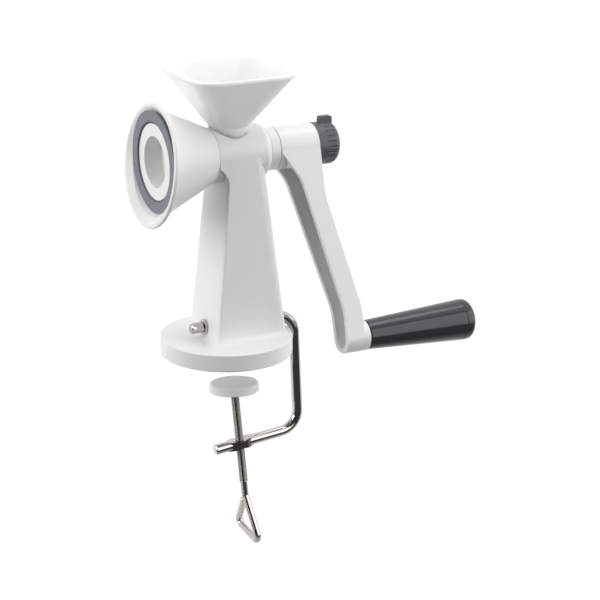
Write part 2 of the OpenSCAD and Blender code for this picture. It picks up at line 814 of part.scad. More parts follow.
module axle_washer() {
    color(steel) on_grip(grip_x + axle_seat_l + face_gap) difference() {
        cylinder(r = axle_head_r + 1, h = axle_washer_t);
        translate([0, 0, -over]) cylinder(r = axle_r + run_fit, h = axle_washer_t + 2 * over);
    }
}

// Clamp: bow, retaining ring, spindle and pad
module bow_plane() {
    rotate([90, 0, 0]) children();
}

module spindle_frame() {
    translate([spindle_at[0], 0, spindle_at[1]]) rotate([0, -arm_slope, 0]) children();
}

module clamp_bow() {
    lens_r = (eye_w * eye_w + eye_l * eye_l) / (4 * eye_w);
    path = [bow_start + [rod_chamfer, 0], bow_corner, bow_foot, bow_end - rod_chamfer * arm_way];
    color(steel) difference() {
        union() {
            bow_plane() bent_rod(path, rod_r, bend_r);
            translate([bow_start[0], 0, bow_z]) rotate([0, 90, 0])
                cylinder(r1 = rod_r - rod_chamfer, r2 = rod_r - bend_thin, h = rod_chamfer + bend_lap);
            translate([bow_end[0], 0, bow_end[1]]) rotate([0, 90 - arm_slope, 0])
                cylinder(r1 = rod_r - rod_chamfer, r2 = rod_r - bend_thin, h = rod_chamfer + bend_lap);
            spindle_frame() intersection() {
                translate([0, lens_r - eye_w / 2, 0]) cylinder(r = lens_r, h = 1.8 * rod_r, center = true);
                translate([0, eye_w / 2 - lens_r, 0]) cylinder(r = lens_r, h = 1.8 * rod_r, center = true);
            }
        }
        spindle_frame() for (s = [-1, 1])
            translate([0, 0, s * (eye_h / 2 + lens_r)]) rotate([90, 0, 0])
                cylinder(r = lens_r, h = 2 * eye_w, center = true);
        spindle_frame() cylinder(r = spindle_r + run_fit, h = 4 * eye_h, center = true);
    }
}

module bow_ring() {
    color(steel) translate([-foot_front - ring_t, 0, bow_z]) rotate([0, 90, 0]) difference() {
        cylinder(r = ring_r, h = ring_t);
        translate([0, 0, -over]) cylinder(r = rod_r + run_fit, h = ring_t + 2 * over);
    }
}

module clamp_spindle() {
    apex = [0, -spindle_below];
    near = apex + [-loop_w / 2, -loop_h - loop_skew];
    far = apex + [loop_w / 2, -loop_h];
    free = apex + loop_gap * (far - apex) / norm(far - apex);
    color(steel) spindle_frame() {
        translate([0, 0, -thread_below]) cylinder(r = spindle_r, h = thread_below + pad_up);
        translate([0, 0, pad_up]) sphere(r = ball_r);
        rotate([90, 0, 90]) bent_rod([[0, -thread_below], apex, near, far, free], loop_r, loop_bend_r);
    }
}

module clamp_pad() {
    color(white) spindle_frame() translate([0, 0, pad_up]) rotate([0, arm_slope, 0]) rotate([-pad_lean, 0, 0])
        difference() {
            translate([0, 0, -pad_under]) rotate_extrude() polygon(concat(
                [[0, 0], [pad_r - pad_edge, 0], [pad_r, pad_edge]],
                arc_at([pad_r, 0], [pad_r - pad_edge, pad_t], [0, pad_t], pad_r - pad_top_r),
                [[0, pad_t]]
            ));
            sphere(r = ball_r + run_fit);
        }
}

body();
outlet_bell();
hopper();
stator_ring();
rotor_cone();
rotor_pin();
feed_screw();
drive_shaft();
rear_bearing();
thrust_washer();
crank_arm();
adjusting_knob();
knob_nut();
grip();
grip_cap();
grip_axle();
axle_washer();
clamp_bow();
bow_ring();
clamp_spindle();
clamp_pad();
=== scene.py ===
"""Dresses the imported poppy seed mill: finishes for every moulding and metal piece, the threaded spindle,
the soft fillet round the post's foot, and a plain studio to see them in."""

import json
import math

import bpy
import numpy as np
from mathutils import Matrix, Vector


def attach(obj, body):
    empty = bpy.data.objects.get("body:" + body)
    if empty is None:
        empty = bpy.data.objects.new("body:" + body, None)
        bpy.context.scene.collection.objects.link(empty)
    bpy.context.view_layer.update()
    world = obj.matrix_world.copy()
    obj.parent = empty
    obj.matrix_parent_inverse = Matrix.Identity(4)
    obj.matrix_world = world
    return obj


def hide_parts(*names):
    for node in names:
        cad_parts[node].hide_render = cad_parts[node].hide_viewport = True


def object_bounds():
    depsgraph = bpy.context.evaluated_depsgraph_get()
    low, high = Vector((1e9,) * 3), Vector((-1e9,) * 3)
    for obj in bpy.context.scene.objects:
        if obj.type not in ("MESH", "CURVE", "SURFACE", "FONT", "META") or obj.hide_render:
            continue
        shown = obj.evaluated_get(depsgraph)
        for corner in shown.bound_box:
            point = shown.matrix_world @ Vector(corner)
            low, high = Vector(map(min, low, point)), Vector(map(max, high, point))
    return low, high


bl_info = {
    "name": "Poppy seed mill dressing",
    "version": (1, 0, 0),
    "blender": (4, 5, 0),
    "location": "View3D > Sidebar > Mill",
    "description": "Finishes and fine surfaces for a hand cranked poppy seed mill",
    "category": "Object",
}

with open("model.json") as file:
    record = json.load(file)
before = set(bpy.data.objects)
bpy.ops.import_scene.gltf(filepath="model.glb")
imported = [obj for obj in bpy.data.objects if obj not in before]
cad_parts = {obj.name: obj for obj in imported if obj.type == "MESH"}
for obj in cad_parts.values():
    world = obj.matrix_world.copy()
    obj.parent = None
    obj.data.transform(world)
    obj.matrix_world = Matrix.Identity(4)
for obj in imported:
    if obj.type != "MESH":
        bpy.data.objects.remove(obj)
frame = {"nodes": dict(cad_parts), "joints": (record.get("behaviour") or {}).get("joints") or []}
CAD_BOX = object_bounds()
MM = 0.001
# Points round the spindle's rod and its loop
ROD_SIDES = 40
# Edges that turn less than this are shaded as one skin, and sharper ones are rounded
SMOOTH_BELOW = math.radians(28)
ROUND_ABOVE = math.radians(32)
# Facets within this angle of each other count as one flat face
FLAT_WITHIN = math.radians(0.4)
ROUND_STEPS = 3
# Side that the studio leaves dark: on the floor in front of the mill, and behind the camera
FLOOR_WAY = (-0.2, -0.98, 0.0)
FLOOR_FADE = (-0.06, 0.12)
DARK_WAY = (-0.36, -0.9, 0.2)


class MillSizes(bpy.types.PropertyGroup):
    """Sizes of the pieces that are shaped here, in metres."""

    axis_height: bpy.props.FloatProperty(
        name="Shaft height", description="Shaft axis above the base's underside",
        default=137.5 * MM, unit="LENGTH")
    moulded_edge: bpy.props.FloatProperty(
        name="Moulded edge", description="Radius on the edges of the thick mouldings",
        default=0.6 * MM, unit="LENGTH")
    arm_edge: bpy.props.FloatProperty(
        name="Arm edge", description="Radius on the edges of the crank arm",
        default=1.0 * MM, unit="LENGTH")
    rim_edge: bpy.props.FloatProperty(
        name="Rim edge", description="Radius on the hopper's rim",
        default=0.7 * MM, unit="LENGTH")
    fine_edge: bpy.props.FloatProperty(
        name="Fine edge", description="Radius on the edges of the knob, the grip and its cap",
        default=0.35 * MM, unit="LENGTH")
    eye_edge: bpy.props.FloatProperty(
        name="Eye edge", description="Radius on the edges of the bow's flattened eye",
        default=1.3 * MM, unit="LENGTH")
    foot_fillet: bpy.props.FloatProperty(
        name="Foot fillet", description="Radius of the hollow where the post meets the base",
        default=4.5 * MM, unit="LENGTH")
    base_thickness: bpy.props.FloatProperty(
        name="Base thickness", description="Height of the base disc",
        default=12.2 * MM, unit="LENGTH")
    foot_front: bpy.props.FloatProperty(
        name="Foot front", description="Reach of the post's foot towards the bell",
        default=16.5 * MM, unit="LENGTH")
    foot_back: bpy.props.FloatProperty(
        name="Foot back", description="Reach of the post's foot towards the crank",
        default=36.5 * MM, unit="LENGTH")
    foot_depth: bpy.props.FloatProperty(
        name="Foot depth", description="Depth of the post's foot across the shaft",
        default=46.0 * MM, unit="LENGTH")
    foot_front_radius: bpy.props.FloatProperty(
        name="Front corner", description="Corner radius at the foot's front",
        default=1.6 * MM, unit="LENGTH")
    foot_back_radius: bpy.props.FloatProperty(
        name="Back corner", description="Corner radius at the foot's back",
        default=7.0 * MM, unit="LENGTH")
    lean_front: bpy.props.FloatProperty(
        name="Front lean", description="How far the post's front wall leans in from the base to the shaft",
        default=12.0 * MM, unit="LENGTH")
    lean_back: bpy.props.FloatProperty(
        name="Back lean", description="How far the post's back wall leans in from the base to the shaft",
        default=16.5 * MM, unit="LENGTH")
    lean_side: bpy.props.FloatProperty(
        name="Side lean", description="How far each side wall leans in from the base to the shaft",
        default=4.5 * MM, unit="LENGTH")
    fillet_root: bpy.props.FloatProperty(
        name="Fillet root", description="How far the foot's fillet runs into the post",
        default=1.0 * MM, unit="LENGTH")
    fillet_sink: bpy.props.FloatProperty(
        name="Fillet sink", description="How far the foot's fillet runs into the base",
        default=0.6 * MM, unit="LENGTH")
    spindle_radius: bpy.props.FloatProperty(
        name="Spindle radius", description="Crest radius of the clamp spindle's thread",
        default=2.9 * MM, unit="LENGTH")
    thread_pitch: bpy.props.FloatProperty(
        name="Thread pitch", description="Rise of the spindle's thread in one turn",
        default=1.0 * MM, unit="LENGTH")
    thread_depth: bpy.props.FloatProperty(
        name="Thread depth", description="Depth of the spindle's thread",
        default=0.55 * MM, unit="LENGTH")
    thread_below: bpy.props.FloatProperty(
        name="Thread below the bow", description="Length of thread below the bow's eye",
        default=29.0 * MM, unit="LENGTH")
    ball_up: bpy.props.FloatProperty(
        name="Ball height", description="Centre of the ball tip above the bow's eye",
        default=40.9 * MM, unit="LENGTH")
    ball_radius: bpy.props.FloatProperty(
        name="Ball radius", description="Radius of the ball tip in the pad",
        default=3.8 * MM, unit="LENGTH")
    loop_below: bpy.props.FloatProperty(
        name="Loop start", description="Top of the bent loop below the bow's eye",
        default=40.0 * MM, unit="LENGTH")
    loop_width: bpy.props.FloatProperty(
        name="Loop width", description="Width of the loop's centre line",
        default=35.0 * MM, unit="LENGTH")
    loop_height: bpy.props.FloatProperty(
        name="Loop height", description="Height of the loop's centre line",
        default=27.0 * MM, unit="LENGTH")
    loop_skew: bpy.props.FloatProperty(
        name="Loop skew", description="Drop of the loop's lower side across its width",
        default=4.0 * MM, unit="LENGTH")
    loop_bend: bpy.props.FloatProperty(
        name="Loop bend", description="Bend radius at the loop's corners",
        default=4.0 * MM, unit="LENGTH")
    loop_rod: bpy.props.FloatProperty(
        name="Loop rod", description="Radius of the loop's rod",
        default=2.5 * MM, unit="LENGTH")
    loop_gap: bpy.props.FloatProperty(
        name="Loop gap", description="Distance from the loop's free end to its start",
        default=5.0 * MM, unit="LENGTH")


class MillColours(bpy.types.PropertyGroup):
    """Colours as sRGB hex codes."""

    white: bpy.props.StringProperty(
        name="White", description="White moulded plastic", default="ECECEB")
    ring_grey: bpy.props.StringProperty(
        name="Ring grey", description="Grey plastic of the grinding ring", default="74777D")
    knob_dark: bpy.props.StringProperty(
        name="Knob", description="Dark matt plastic of the knob", default="54575A")
    grip_dark: bpy.props.StringProperty(
        name="Grip", description="Dark glossy plastic of the grip", default="35383A")
    pad_grey: bpy.props.StringProperty(
        name="Pad", description="Pale grey plastic of the clamp's pad", default="E6E6E8")
    nickel: bpy.props.StringProperty(
        name="Nickel", description="Bright nickel plate", default="C6C3BF")
    # The thread's colour is darker than the nickel as painted shade, standing in for the dark surroundings
    # that the thread reflects
    thread: bpy.props.StringProperty(
        name="Thread", description="Rolled thread of the spindle", default="969491")
    steel: bpy.props.StringProperty(
        name="Steel", description="Turned steel", default="B9BBBD")
    brass: bpy.props.StringProperty(
        name="Brass", description="Turned brass", default="C9A95E")
    floor: bpy.props.StringProperty(
        name="Floor", description="Pale floor", default="F4F4F4")


class MillStage(bpy.types.PropertyGroup):
    """Camera, floor and the studio's black cards."""

    azimuth: bpy.props.FloatProperty(
        name="Azimuth", description="Camera's turn from the straight front view",
        default=math.radians(-27.33), subtype="ANGLE")
    elevation: bpy.props.FloatProperty(
        name="Elevation", description="Camera's height as an angle",
        default=math.radians(18.06), subtype="ANGLE")
    roll: bpy.props.FloatProperty(
        name="Roll", description="Camera's lean", default=math.radians(0.5), subtype="ANGLE")
    distance: bpy.props.FloatProperty(
        name="Distance", description="Camera's distance", default=1.48417, unit="LENGTH")
    target: bpy.props.FloatVectorProperty(
        name="Target", description="Point in the middle of the picture",
        default=(0.05607, 0.0, 0.028), unit="LENGTH")
    lens: bpy.props.FloatProperty(
        name="Lens", description="Focal length in millimetres on a 36 mm sensor", default=129.6)
    floor_drop: bpy.props.FloatProperty(
        name="Floor drop", description="Floor below the mill's lowest point",
        default=0.03, unit="LENGTH")
    half_width: bpy.props.FloatProperty(
        name="Half width", description="Half the width of the floor and the cards",
        default=6.0, unit="LENGTH")
    card_distance: bpy.props.FloatProperty(
        name="Card distance", description="Black card behind the camera, from the mill",
        default=1.6, unit="LENGTH")
    card_core: bpy.props.FloatProperty(
        name="Card core", description="Radius within which that card is fully black",
        default=2.0, unit="LENGTH")


# Materials


def linear(code):
    """sRGB hex code to linear colour: values below 0.04045 are divided by 12.92, others go through
    ((c + 0.055) / 1.055) to the power 2.4."""
    part = np.array([int(code[i:i + 2], 16) for i in (0, 2, 4)]) / 255
    low = part / 12.92
    high = ((part + 0.055) / 1.055) ** 2.4
    return (*np.where(part <= 0.04045, low, high).tolist(), 1.0)


def put(tree, kind, inputs=None, **settings):
    """Adds one node, sets its properties, and sets or links its inputs."""
    node = tree.nodes.new(kind)
    for name, value in settings.items():
        setattr(node, name, value)
    for name, value in (inputs or {}).items():
        if isinstance(value, bpy.types.NodeSocket):
            tree.links.new(value, node.inputs[name])
        else:
            node.inputs[name].default_value = value
    return node


def blank(name):
    """A material with an empty tree, its output node and Object coordinates."""
    material = bpy.data.materials.new(name)
    material.use_nodes = True
    tree = material.node_tree
    tree.nodes.clear()
    output = put(tree, "ShaderNodeOutputMaterial")
    place = put(tree, "ShaderNodeTexCoord").outputs["Object"]
    return material, tree, output, place


def in_sight(tree):
    """1 for rays from the camera, a mirror or glass, and 0 for rays that only carry light."""
    rays = put(tree, "ShaderNodeLightPath").outputs
    mirror = put(tree, "ShaderNodeMath", {0: rays["Is Camera Ray"], 1: rays["Is Glossy Ray"]},
                 operation="MAXIMUM")
    return put(tree, "ShaderNodeMath", {0: mirror.outputs["Value"], 1: rays["Is Transmission Ray"]},
               operation="MAXIMUM").outputs["Value"]


def shade(code, factor):
    """The linear colour of a hex code, made darker or lighter by a factor."""
    r, g, b, a = linear(code)
    return (min(r * factor, 1.0), min(g * factor, 1.0), min(b * factor, 1.0), a)


def moulded_plastic(name, code, gloss, spread, peel_mm, peel_depth_mm, cloud_mm=25.0, cloud=0.03,
                    glow_mm=0.0):
    """Injection moulded plastic. The tool's polish shows as gloss that varies a little, the melt's flow as
    a very faint cloudiness some centimetres across, and shrinkage as a soft waviness of the skin. A thin
    wall lets light through: it travels some millimetres inside before it comes out again."""
    material, tree, output, place = blank(name)
    flow = put(tree, "ShaderNodeTexNoise",
               {"Vector": place, "Scale": 1 / (cloud_mm * MM), "Detail": 3.0, "Roughness": 0.5})
    tint = put(tree, "ShaderNodeMix",
               {"Factor": flow.outputs["Fac"], "A": shade(code, 1 - cloud), "B": shade(code, 1 + cloud)},
               data_type="RGBA")
    polish = put(tree, "ShaderNodeTexNoise",
                 {"Vector": place, "Scale": 1 / (9 * MM), "Detail": 4.0, "Roughness": 0.6})
    rough = put(tree, "ShaderNodeMapRange",
                {"Value": polish.outputs["Fac"], "From Min": 0.3, "From Max": 0.7,
                 "To Min": gloss - spread, "To Max": gloss + spread})
    skin = put(tree, "ShaderNodeTexNoise",
               {"Vector": place, "Scale": 1 / (peel_mm * MM), "Detail": 2.0, "Roughness": 0.4})
    relief = put(tree, "ShaderNodeBump",
                 {"Height": skin.outputs["Fac"], "Strength": 1.0, "Distance": peel_depth_mm * MM})
    shader = put(tree, "ShaderNodeBsdfPrincipled",
                 {"Base Color": tint.outputs["Result"], "Roughness": rough.outputs["Result"],
                  "Normal": relief.outputs["Normal"], "IOR": 1.5,
                  "Subsurface Weight": 1.0 if glow_mm else 0.0, "Subsurface Radius": (1.0, 1.0, 1.0),
                  "Subsurface Scale": glow_mm * MM})
    tree.links.new(shader.outputs["BSDF"], output.inputs["Surface"])
    return material


def worked_metal(name, code, gloss, spread, line_mm, relief_mm, axis):
    """Metal drawn or turned to shape. The tool leaves fine lines round the axis, which spread highlights
    along it, and handling leaves faint smudges that dull the gloss in patches."""
    material, tree, output, place = blank(name)
    fine = [1 / (line_mm * MM)] * 3
    for k in range(3):
        if k != axis:
            fine[k] *= 0.06
    lines_at = put(tree, "ShaderNodeMapping", {"Vector": place, "Scale": fine})
    lines = put(tree, "ShaderNodeTexNoise",
                {"Vector": lines_at.outputs["Vector"], "Scale": 1.0, "Detail": 2.0})
    smudge = put(tree, "ShaderNodeTexNoise",
                 {"Vector": place, "Scale": 1 / (14 * MM), "Detail": 5.0, "Roughness": 0.65})
    rough = put(tree, "ShaderNodeMapRange",
                {"Value": smudge.outputs["Fac"], "From Min": 0.35, "From Max": 0.7,
                 "To Min": gloss - spread, "To Max": gloss + spread})
    tint = put(tree, "ShaderNodeMix",
               {"Factor": lines.outputs["Fac"], "A": shade(code, 0.97), "B": shade(code, 1.02)},
               data_type="RGBA")
    relief = put(tree, "ShaderNodeBump",
                 {"Height": lines.outputs["Fac"], "Strength": 1.0, "Distance": relief_mm * MM})
    shader = put(tree, "ShaderNodeBsdfPrincipled",
                 {"Base Color": tint.outputs["Result"], "Metallic": 1.0,
                  "Roughness": rough.outputs["Result"], "Normal": relief.outputs["Normal"]})
    tree.links.new(shader.outputs["BSDF"], output.inputs["Surface"])
    return material


def dress(material, *names):
    """Gives CAD nodes a finish in place of their plain slot colour."""
    for name in names:
        mesh = frame["nodes"][name].data
        mesh.materials.clear()
        mesh.materials.append(material)


# Surfaces


def skin_tree():
    """Modifier tree that joins a node's loose triangles, drops the stored normals and shades smooth all
    edges that turn less than an angle."""
    tree = bpy.data.node_groups.new("joined_skin", "GeometryNodeTree")
    tree.interface.new_socket("Mesh", in_out="INPUT", socket_type="NodeSocketGeometry")
    tree.interface.new_socket("Mesh", in_out="OUTPUT", socket_type="NodeSocketGeometry")
    start = put(tree, "NodeGroupInput").outputs["Mesh"]
    bare = put(tree, "GeometryNodeRemoveAttribute", {"Geometry": start, "Name": "custom_normal"})
    joined = put(tree, "GeometryNodeMergeByDistance",
                 {"Geometry": bare.outputs["Geometry"], "Distance": 0.002 * MM})
    turn = put(tree, "GeometryNodeInputMeshEdgeAngle").outputs["Unsigned Angle"]
    soft = put(tree, "FunctionNodeCompare", {"A": turn, "B": SMOOTH_BELOW}, operation="LESS_EQUAL")
    faces = put(tree, "GeometryNodeSetShadeSmooth",
                {"Geometry": joined.outputs["Geometry"], "Shade Smooth": True}, domain="FACE")
    edges = put(tree, "GeometryNodeSetShadeSmooth",
                {"Geometry": faces.outputs["Geometry"], "Shade Smooth": soft.outputs["Result"]},
                domain="EDGE")
    put(tree, "NodeGroupOutput", {"Mesh": edges.outputs["Geometry"]})
    return tree


def soften(obj, edge):
    """Rounds a node's sharp edges to a small radius and shades its facets as one skin."""
    tree = bpy.data.node_groups.get("joined_skin") or skin_tree()
    skin = obj.modifiers.new("skin", "NODES")
    skin.node_group = tree
    if edge > 0:
        flat = obj.modifiers.new("flats", "DECIMATE")
        flat.decimate_type = "DISSOLVE"
        flat.angle_limit = FLAT_WITHIN
        flat.delimit = {"SHARP"}
        bevel = obj.modifiers.new("edges", "BEVEL")
        bevel.width = edge
        bevel.segments = ROUND_STEPS
        bevel.limit_method = "ANGLE"
        bevel.angle_limit = ROUND_ABOVE
        bevel.use_clamp_overlap = True
        bevel.miter_outer = "MITER_ARC"
    weigh = obj.modifiers.new("normals", "WEIGHTED_NORMAL")
    weigh.keep_sharp = True
    weigh.weight = 60


def grid_mesh(name, grid, poles=(None, None), ring=False):
    """Mesh from a grid of points, closed round its columns. The first and last rows close to pole points,
    or the last row joins the first where ring is true."""
    rows, cols = grid.shape[:2]
    last = rows if ring else rows - 1
    i, j = np.meshgrid(np.arange(last), np.arange(cols), indexing="ij")
    k, below = (j + 1) % cols, (i + 1) % rows
    quads = np.stack([i * cols + j, i * cols + k, below * cols + k, below * cols + j], -1).reshape(-1, 4)
    points = grid.reshape(-1, 3)
    faces = quads.tolist()
    around = np.arange(cols)
    for row, pole in ((0, poles[0]), (rows - 1, poles[1])):
        if pole is None:
            continue
        tip = np.full(cols, len(points))
        points = np.vstack([points, pole])
        a, b = row * cols + around, row * cols + (around + 1) % cols
        fan = np.stack([b, a, tip] if row == 0 else [a, b, tip], -1)
        faces += fan.tolist()
    mesh = bpy.data.meshes.new(name)
    mesh.from_pydata(points.tolist(), [], faces)
    mesh.polygons.foreach_set("use_smooth", np.ones(len(faces), bool))
    mesh.set_sharp_from_angle(angle=math.radians(40))
    obj = bpy.data.objects.new(name, mesh)
    bpy.context.scene.collection.objects.link(obj)
    return obj


def bent_path(corners, bend, step):
    """Centre line through planar corner points: straights, with an arc of the bend radius at each corner.
    Each arc starts bend * tan(turn / 2) before its corner and turns evenly about its centre."""
    corners = np.asarray(corners, float)
    ways = np.diff(corners, axis=0)
    lengths = np.linalg.norm(ways, axis=1)
    ways = ways / lengths[:, None]
    path, start = [], corners[0]
    for k in range(1, len(corners) - 1):
        a, b = ways[k - 1], ways[k]
        turn = math.atan2(a[0] * b[1] - a[1] * b[0], a @ b)
        back = bend * math.tan(abs(turn) / 2)
        enter = corners[k] - back * a
        side = math.copysign(1.0, turn)
        centre = enter + side * bend * np.array([-a[1], a[0]])
        run = np.linspace(0, 1, max(2, int(np.linalg.norm(enter - start) / step)), endpoint=False)
        path.append(start + run[:, None] * (enter - start))
        angles = turn * np.linspace(0, 1, 13)
        c, s = np.cos(angles)[:, None], np.sin(angles)[:, None]
        arm = enter - centre
        arc = centre + c * arm + s * np.array([-arm[1], arm[0]])
        path.append(arc[:-1])
        start = arc[-1]
    run = np.linspace(0, 1, max(2, int(np.linalg.norm(corners[-1] - start) / step)))
    path.append(start + run[:, None] * (corners[-1] - start))
    return np.vstack(path)


def carried_circle(path, radius, turns):
    """Grid of a circle carried along a planar path: the point at turn t of station s lies at the path's
    point plus radius(s, t) * (cos t * across + sin t * out of the plane)."""
    way = np.gradient(path, axis=0)
    way /= np.linalg.norm(way, axis=1)[:, None]
    across = np.stack([-way[:, 1], way[:, 0]], -1)
    flat = path[:, None, :] + radius[..., None] * np.cos(turns)[None, :, None] * across[:, None, :]
    out = radius * np.sin(turns)[None, :]
    return np.concatenate([flat, out[..., None]], -1)


def spindle_matrix():
    """Place of the clamp spindle, from the joint that turns it: its point and its axis."""
    joint = next(j for j in frame["joints"] if j["name"] == "spindle_turn")
    at, up = Vector(joint["pos_m"]), Vector(joint["axis"]).normalized()
    depth = Vector((0, 1, 0))
    across = depth.cross(up)
    turn = Matrix((across, depth, up)).transposed().to_4x4()
    return Matrix.Translation(at) @ turn


def threaded_rod(sizes):
    """Threaded part of the clamp spindle: a tube whose radius follows a helix. With h the height and t the
    turn, the phase h / pitch - t / 2 pi runs up a flank for 3/8 of a pitch, along the crest for 1/8, down
    a flank for 3/8 and along the root for 1/8. The thread fades out near both ends. The top runs out into
    a ball, radius sqrt(R^2 - h^2), and the foot is rounded off in three steps."""
    turns = np.linspace(0, 2 * np.pi, ROD_SIDES, endpoint=False)
    crest, pitch = sizes.spindle_radius, sizes.thread_pitch
    low, high = -sizes.thread_below, sizes.ball_up
    neck = high - math.sqrt(sizes.ball_radius ** 2 - crest ** 2)
    heights = np.arange(low, neck, pitch / 8)
    phase = (heights[:, None] / pitch - turns[None, :] / (2 * np.pi)) % 1.0
    depth = np.clip((np.abs(phase - 0.5) - 1 / 16) / (3 / 8), 0, 1)
    fade = np.clip((neck - 0.8 * pitch - heights) / (2 * pitch), 0, 1)[:, None]
    fade = fade * np.clip((heights - low) / (1.5 * pitch), 0, 1)[:, None]
    radius = crest - sizes.thread_depth * depth * fade
    swell = np.arcsin(np.linspace((neck - high) / sizes.ball_radius, 0.995, 18))
    ball_h = high + sizes.ball_radius * np.sin(swell)
    ball_r = np.repeat((sizes.ball_radius * np.cos(swell))[:, None], len(turns), 1)
    foot_r = np.array([0.55, 0.8, 0.95])[:, None] * crest * np.ones_like(turns)[None, :]
    foot_h = low - np.array([0.35, 0.25, 0.1]) * MM
    all_h = np.concatenate([foot_h, heights, ball_h])
    all_r = np.vstack([foot_r, radius, ball_r])
    level = np.repeat(all_h[:, None], len(turns), 1)
    rod = np.stack([all_r * np.cos(turns), all_r * np.sin(turns), level], -1)
    screw = grid_mesh("spindle_screw", rod, (rod[0].mean(0), rod[-1].mean(0)))
    screw.data.transform(spindle_matrix())
    return screw


def bent_loop(sizes):
    """Loop at the clamp spindle's foot: a circle carried along a bent path, with a domed free end."""
    turns = np.linspace(0, 2 * np.pi, ROD_SIDES, endpoint=False)
    apex = np.array([0, -sizes.loop_below])
    near = apex + [-sizes.loop_width / 2, -sizes.loop_height - sizes.loop_skew]
    far = apex + [sizes.loop_width / 2, -sizes.loop_height]
    free = apex + sizes.loop_gap * (far - apex) / np.linalg.norm(far - apex)
    path = bent_path([[0, -sizes.thread_below], apex, near, far, free], sizes.loop_bend, 2 * MM)
    tip = np.linspace(0, np.pi / 2, 5)[1:-1]
    last = path[-1] - path[-2]
    last /= np.linalg.norm(last)
    end = path[-1] + (0.5 * sizes.loop_rod * np.sin(tip))[:, None] * last
    stations = np.vstack([path, end])
    rod_r = np.concatenate([np.full(len(path), sizes.loop_rod), sizes.loop_rod * np.cos(tip)])
    tube = carried_circle(stations, np.repeat(rod_r[:, None], len(turns), 1), turns)
    tube = tube[..., [2, 0, 1]]
    loop = grid_mesh("spindle_loop", tube, (tube[0].mean(0), tube[-1].mean(0)))
    loop.data.transform(spindle_matrix())
    return loop


def foot_outline(sizes, count):
    """Rounded rectangle of the post's foot as points and outward normals, in order round the post: straight
    sides between quarter circles at the corners."""
    x0, x1, y = -sizes.foot_front, sizes.foot_back, sizes.foot_depth / 2
    rf, rb = sizes.foot_front_radius, sizes.foot_back_radius
    corners = ((x1 - rb, y - rb, rb, 0), (x0 + rf, y - rf, rf, 90),
               (x0 + rf, rf - y, rf, 180), (x1 - rb, rb - y, rb, 270))
    points, normals = [], []
    for cx, cy, r, start in corners:
        a = np.radians(start + np.linspace(0, 90, count))
        n = np.stack([np.cos(a), np.sin(a)], -1)
        points.append(np.array([cx, cy]) + r * n)
        normals.append(n)
    return np.vstack(points), np.vstack(normals)


def foot_hollow(sizes):
    """Hollow fillet at the post's foot: a quarter circle, hollow side out, carried round the outline of the
    foot. Its point at angle a stands r - r sin a outside the foot and r - r cos a above the base, and leans
    in with the wall as it rises. Its hidden side runs inside the mouldings."""
    points, normals = foot_outline(sizes, 9)
    r, base = sizes.foot_fillet, sizes.base_thickness
    a = np.linspace(0, np.pi / 2, 12)
    root, sink = sizes.fillet_root, sizes.fillet_sink
    out = np.concatenate([r - r * np.sin(a), [-root, -root, r]])
    up = np.concatenate([r - r * np.cos(a), [r, -sink, -sink]])
    rise = sizes.axis_height - base
    lean = (np.clip(-normals[:, 0], 0, 1) ** 2 * sizes.lean_front
            + np.clip(normals[:, 0], 0, 1) ** 2 * sizes.lean_back
            + normals[:, 1] ** 2 * sizes.lean_side) / rise
    reach = out[None, :] - lean[:, None] * np.clip(up, 0, None)[None, :]
    flat = points[:, None, :] + reach[..., None] * normals[:, None, :]
    height = np.repeat((base + up)[None, :], len(points), 0)
    grid = np.concatenate([flat, height[..., None]], -1)
    return grid_mesh("foot_fillet", grid[:, ::-1], ring=True)


# Operators


class MILL_OT_white_mouldings(bpy.types.Operator):
    """Gives the white mouldings their finish and rounded edges."""

    bl_idname = "mill.white_mouldings"
    bl_label = "White mouldings"

    def execute(self, context):
        sizes, colours = context.scene.mill_sizes, context.scene.mill_colours
        # ABS from a polished tool: soft but clear highlights on a skin that is never quite flat
        abs_skin = {"gloss": 0.3, "spread": 0.02, "peel_mm": 14.0, "peel_depth_mm": 0.004,
                    "cloud_mm": 40.0, "cloud": 0.006}
        white = moulded_plastic("abs_moulded_white", colours.white, **abs_skin)
        dress(white, "body", "outlet_bell", "rotor_cone", "feed_screw", "rear_bearing", "crank_arm")
        # The same plastic in the hopper's thin wall, which the light inside shines through
        thin = moulded_plastic("abs_moulded_thin_wall", colours.white, **abs_skin, glow_mm=5.0)
        dress(thin, "hopper")
        nodes = frame["nodes"]
        soften(nodes["body"], 0.0)
        soften(nodes["hopper"], sizes.rim_edge)
        soften(nodes["feed_screw"], 0.0)
        soften(nodes["crank_arm"], sizes.arm_edge)
        soften(nodes["rear_bearing"], sizes.moulded_edge)
        return {"FINISHED"}


class MILL_OT_foot_fillet(bpy.types.Operator):
    """Adds the soft hollow where the post runs into the base."""

    bl_idname = "mill.foot_fillet"
    bl_label = "Foot fillet"

    def execute(self, context):
        fillet = foot_hollow(context.scene.mill_sizes)
        fillet.data.materials.append(bpy.data.materials["abs_moulded_white"])
        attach(fillet, "frame")
        return {"FINISHED"}


class MILL_OT_grinding_ring(bpy.types.Operator):
    """Gives the grey grinding ring its finish."""

    bl_idname = "mill.grinding_ring"
    bl_label = "Grinding ring"

    def execute(self, context):
        colours = context.scene.mill_colours
        # Glass filled nylon, moulded: dull, with short fibres just under the skin
        nylon = moulded_plastic("nylon_moulded_grey", colours.ring_grey, gloss=0.48, spread=0.06,
                                peel_mm=1.2, peel_depth_mm=0.02, cloud_mm=6.0, cloud=0.06)
        dress(nylon, "stator_ring")
        return {"FINISHED"}


